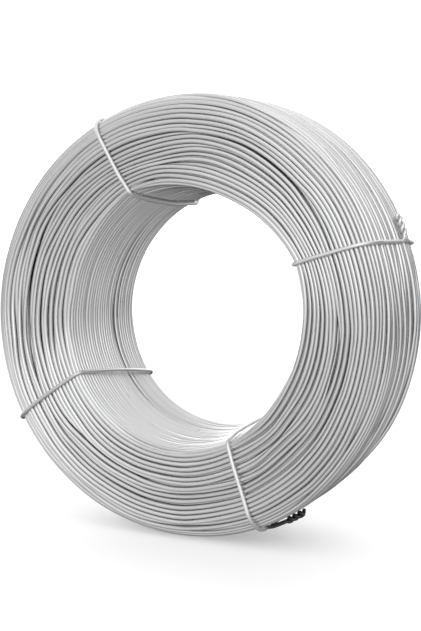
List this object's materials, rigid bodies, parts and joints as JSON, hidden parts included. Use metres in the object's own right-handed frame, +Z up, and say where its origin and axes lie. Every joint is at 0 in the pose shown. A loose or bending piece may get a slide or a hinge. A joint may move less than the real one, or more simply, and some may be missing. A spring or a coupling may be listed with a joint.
{
  "type": "coil of wire",
  "caption": "Close-wound coil of plain round galvanised steel wire: a thick ring with an open bore, bound across its section by tie wires with twisted ends.",
  "frame": {"origin": "on the floor under the coil's middle, midway between its two ends", "axes": "+Z up, with the coil standing on its rim; +Y along the winding axis, from the front end to the back end; +X to the right seen from the front end"},
  "size_m": [0.304, 0.0968, 0.304],
  "materials": {
    "coiled_wire": "galvanised, satin",
    "tie_wire": "galvanised, bright"
  },
  "bodies": {
    "root": {"wire_coil": "coiled_wire", "tie_right": "tie_wire", "tie_upper_left": "tie_wire", "tie_lower_left": "tie_wire", "tie_bottom": "tie_wire"}
  },
  "joints": []
}
